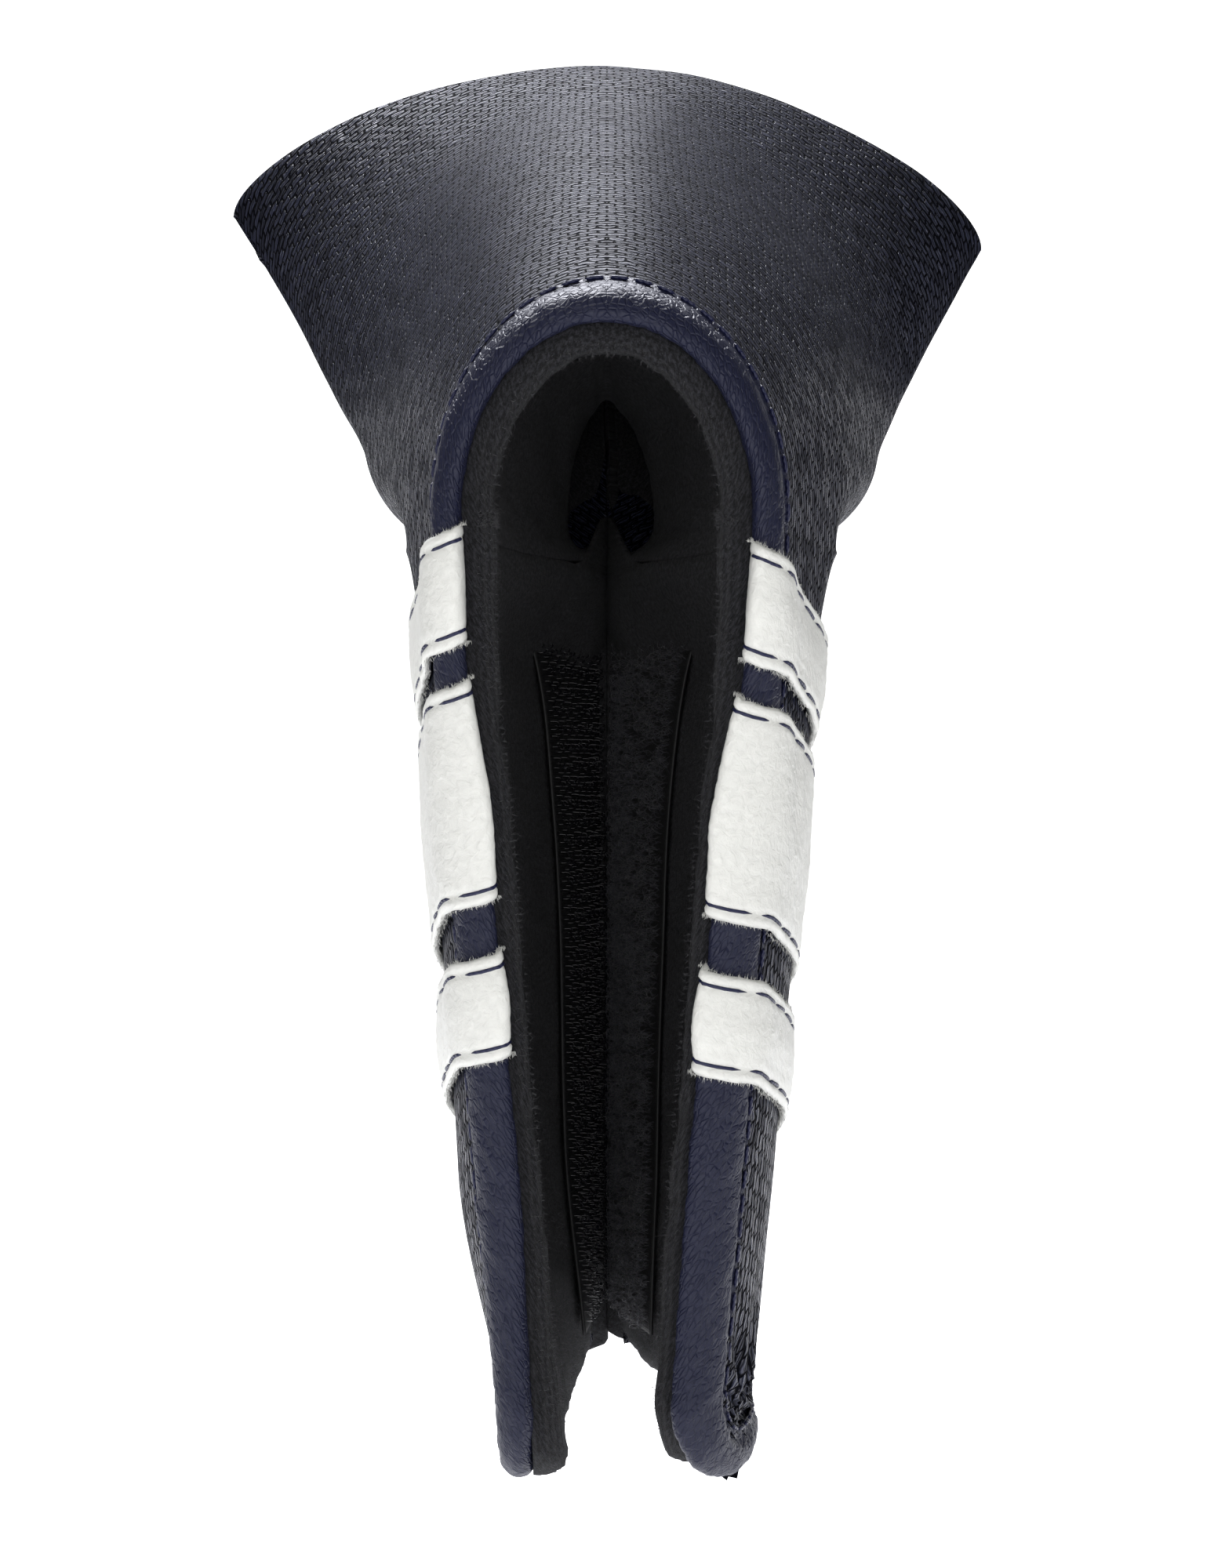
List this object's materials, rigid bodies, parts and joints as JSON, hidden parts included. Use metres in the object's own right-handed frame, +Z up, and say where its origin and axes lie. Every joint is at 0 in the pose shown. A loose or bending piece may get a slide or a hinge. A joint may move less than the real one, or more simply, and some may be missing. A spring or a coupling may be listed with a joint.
{
  "type": "putter head cover",
  "caption": "Soft padded leather cover for a putter head: a fan-shaped pocket with hinged neck flaps that close on hook and loop tape.",
  "frame": {"origin": "on the fleece where the putter's sole bears, on the pocket's middle line, 55 mm in from the slot", "axes": "sole side up, as on a club standing head-up: +Z up, +Y from the open slot to the toe, +X to the right flap"},
  "size_m": [0.126, 0.1268, 0.2071],
  "materials": {
    "embossed_navy_leather": "woven-look embossed, semi-gloss",
    "smooth_navy_leather": "pebble grain, semi-gloss",
    "white_leather": "smooth, lightly creased",
    "black_fleece": "thick brushed fleece",
    "grey_foam": "soft open foam",
    "hook_nylon": "woven tape with hooks",
    "loop_nylon": "brushed loop pile",
    "navy_thread": "twisted polyester"
  },
  "bodies": {
    "pocket": {"pocket_leather": "embossed_navy_leather", "pocket_padding": "grey_foam", "pocket_lining_left": "black_fleece", "pocket_lining_right": "black_fleece", "arch_binding": "smooth_navy_leather", "arch_binding_stitch": "navy_thread", "underside_seam_stitch": "navy_thread", "toe_seam_stitch": "navy_thread"},
    "left_flap": {"left_flap_leather": "embossed_navy_leather", "left_flap_padding": "grey_foam", "left_flap_lining": "black_fleece", "left_flap_binding": "smooth_navy_leather", "left_binding_stitch": "navy_thread", "left_hook_tape": "hook_nylon", "left_stripe_upper": "white_leather", "left_stripe_middle": "white_leather", "left_stripe_lower": "white_leather", "left_stripe_stitch_upper": "navy_thread", "left_stripe_stitch_middle": "navy_thread", "left_stripe_stitch_lower": "navy_thread"},
    "right_flap": {"right_flap_leather": "embossed_navy_leather", "right_flap_padding": "grey_foam", "right_flap_lining": "black_fleece", "right_flap_binding": "smooth_navy_leather", "right_binding_stitch": "navy_thread", "right_loop_tape": "loop_nylon", "right_stripe_upper": "white_leather", "right_stripe_middle": "white_leather", "right_stripe_lower": "white_leather", "right_stripe_stitch_upper": "navy_thread", "right_stripe_stitch_middle": "navy_thread", "right_stripe_stitch_lower": "navy_thread"}
  },
  "joints": [
    {"name": "left_flap_hinge", "type": "hinge", "parent": "pocket", "child": "left_flap", "pos_m": [-0.02829, -0.0175, -0.04934], "axis": [0, 1, 0], "range_deg": [0, 40]},
    {"name": "right_flap_hinge", "type": "hinge", "parent": "pocket", "child": "right_flap", "pos_m": [0.03293, -0.0175, -0.04934], "axis": [0, -1, 0], "range_deg": [0, 40]}
  ]
}
